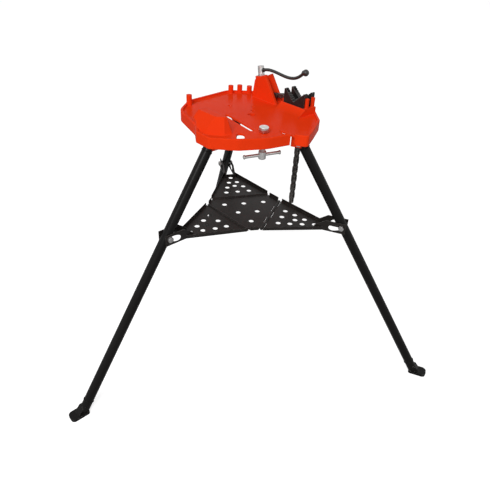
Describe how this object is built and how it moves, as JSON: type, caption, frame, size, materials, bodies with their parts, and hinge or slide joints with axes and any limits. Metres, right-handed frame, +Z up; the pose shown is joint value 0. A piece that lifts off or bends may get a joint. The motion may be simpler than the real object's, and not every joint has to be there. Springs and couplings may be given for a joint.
{
  "type": "tripod pipe vise stand",
  "caption": "Folding tripod stand with a cast vise base, V jaws and chain vise, rear pipe rest, ceiling-brace screw and perforated tool tray.",
  "frame": {"origin": "on the floor, at the middle of the footprint box of the opened stand", "axes": "+Z up; the pipe lies along X with the vise at +X and the rear leg at -X; Y is the long side between the front feet"},
  "size_m": [1.167, 1.413, 1.0403],
  "materials": {
    "brace_steel": "bright turned steel",
    "casting_red": "glossy orange-red enamel on grey iron",
    "chain_steel": "oiled black steel",
    "fastener_dark": "black oxide",
    "fastener_zinc": "dull zinc plate",
    "handle_black": "gloss black",
    "hinge_steel": "blackened steel",
    "jaw_steel": "black oxide on hardened tool steel",
    "leg_black": "semi-gloss black enamel on steel tube",
    "screw_steel": "bright zinc plate",
    "tray_black": "satin black enamel on sheet steel"
  },
  "bodies": {
    "frame": {"vise_base": "casting_red", "jaw_rear": "jaw_steel", "jaw_front": "jaw_steel", "jaw_screws": "fastener_dark", "leg_pivot_bolts": "fastener_zinc", "leg_pivot_nuts": "fastener_zinc", "screw_washer": "screw_steel"},
    "leg_rear": {"leg_tube_rear": "leg_black", "leg_head_rear": "leg_black", "foot_rear": "leg_black", "tray_bolt_rear": "fastener_zinc", "tray_nut_rear": "fastener_zinc"},
    "leg_right": {"leg_tube_right": "leg_black", "leg_head_right": "leg_black", "foot_right": "leg_black", "tray_bolt_right": "fastener_zinc", "tray_nut_right": "fastener_zinc"},
    "leg_left": {"leg_tube_left": "leg_black", "leg_head_left": "leg_black", "foot_left": "leg_black", "tray_bolt_left": "fastener_zinc", "tray_nut_left": "fastener_zinc"},
    "tray": {"tray_centre": "tray_black", "tray_hinge_pin_rear": "hinge_steel", "tray_hinge_pin_right": "hinge_steel", "tray_hinge_pin_left": "hinge_steel"},
    "wing_rear": {"tray_wing_rear": "tray_black"},
    "wing_right": {"tray_wing_right": "tray_black"},
    "wing_left": {"tray_wing_left": "tray_black"},
    "handle": {"screw_hub": "screw_steel", "handle_arm": "handle_black", "handle_ball": "handle_black"},
    "chain": {"chain_screw": "screw_steel", "chain_inner_plates": "chain_steel", "chain_outer_plates": "chain_steel", "chain_pins": "chain_steel"},
    "chain_tail": {"tail_inner_plates": "chain_steel", "tail_outer_plates": "chain_steel", "tail_pins": "chain_steel"},
    "brace_cup": {"brace_cup": "brace_steel"},
    "brace_screw": {"brace_screw": "brace_steel"},
    "brace_bar": {"brace_bar": "brace_steel", "brace_bar_ends": "brace_steel"}
  },
  "joints": [
    {"name": "leg_rear_fold", "type": "hinge", "parent": "frame", "child": "leg_rear", "pos_m": [0.03212, 0, 0.864], "axis": [0, -1, 0], "range_deg": [0, 27]},
    {"name": "leg_right_fold", "type": "hinge", "parent": "frame", "child": "leg_right", "pos_m": [0.28681, -0.15498, 0.864], "axis": [0.8881, 0.4596, 0], "range_deg": [0, 27]},
    {"name": "leg_left_fold", "type": "hinge", "parent": "frame", "child": "leg_left", "pos_m": [0.28681, 0.15498, 0.864], "axis": [-0.8881, 0.4596, 0], "range_deg": [0, 27]},
    {"name": "tray_rise", "type": "slide", "parent": "frame", "child": "tray", "axis": [0, 0, 1], "range_m": [0, 0.20633]},
    {"name": "wing_rear_fold", "type": "hinge", "parent": "tray", "child": "wing_rear", "pos_m": [0.11162, 0, 0.564], "axis": [0, -1, 0], "range_deg": [0, 68.69]},
    {"name": "wing_right_fold", "type": "hinge", "parent": "tray", "child": "wing_right", "pos_m": [0.25028, -0.08437, 0.564], "axis": [0.8881, 0.4596, 0], "range_deg": [0, 68.69]},
    {"name": "wing_left_fold", "type": "hinge", "parent": "tray", "child": "wing_left", "pos_m": [0.25028, 0.08437, 0.564], "axis": [-0.8881, 0.4596, 0], "range_deg": [0, 68.69]},
    {"name": "handle_turn", "type": "hinge", "parent": "frame", "child": "handle", "pos_m": [0.43262, 0.19915, 0.99177], "axis": [0, 0.2079, 0.9781], "range_deg": [0, 1440]},
    {"name": "chain_pull", "type": "slide", "parent": "frame", "child": "chain", "axis": [0, 0.2079, 0.9781], "range_m": [0, 0.012]},
    {"name": "tail_swing", "type": "hinge", "parent": "chain", "child": "chain_tail", "pos_m": [0.43262, -0.022, 0.87078], "axis": [1, 0, 0], "range_deg": [-15, 15]},
    {"name": "brace_rise", "type": "slide", "parent": "frame", "child": "brace_cup", "axis": [0, 0, 1], "range_m": [0, 0.025]},
    {"name": "brace_turn", "type": "hinge", "parent": "brace_cup", "child": "brace_screw", "pos_m": [0.18362, -0.083, 0.817], "axis": [0, 0, 1], "range_deg": [0, 2250]},
    {"name": "brace_bar_slide", "type": "slide", "parent": "brace_screw", "child": "brace_bar", "axis": [0.9511, -0.309, 0], "range_m": [-0.03, 0.03]}
  ],
  "couplings": [
    {"joint": "leg_right_fold", "follows": "leg_rear_fold", "ratio": 1},
    {"joint": "leg_left_fold", "follows": "leg_rear_fold", "ratio": 1},
    {"joint": "tray_rise", "follows": "leg_rear_fold", "m_per_rad": 0.43785},
    {"joint": "wing_rear_fold", "follows": "leg_rear_fold", "ratio": 2.544},
    {"joint": "wing_right_fold", "follows": "leg_rear_fold", "ratio": 2.544},
    {"joint": "wing_left_fold", "follows": "leg_rear_fold", "ratio": 2.544},
    {"joint": "chain_pull", "follows": "handle_turn", "m_per_rad": 0.00047746},
    {"joint": "brace_rise", "follows": "brace_turn", "m_per_rad": 0.00063662}
  ]
}
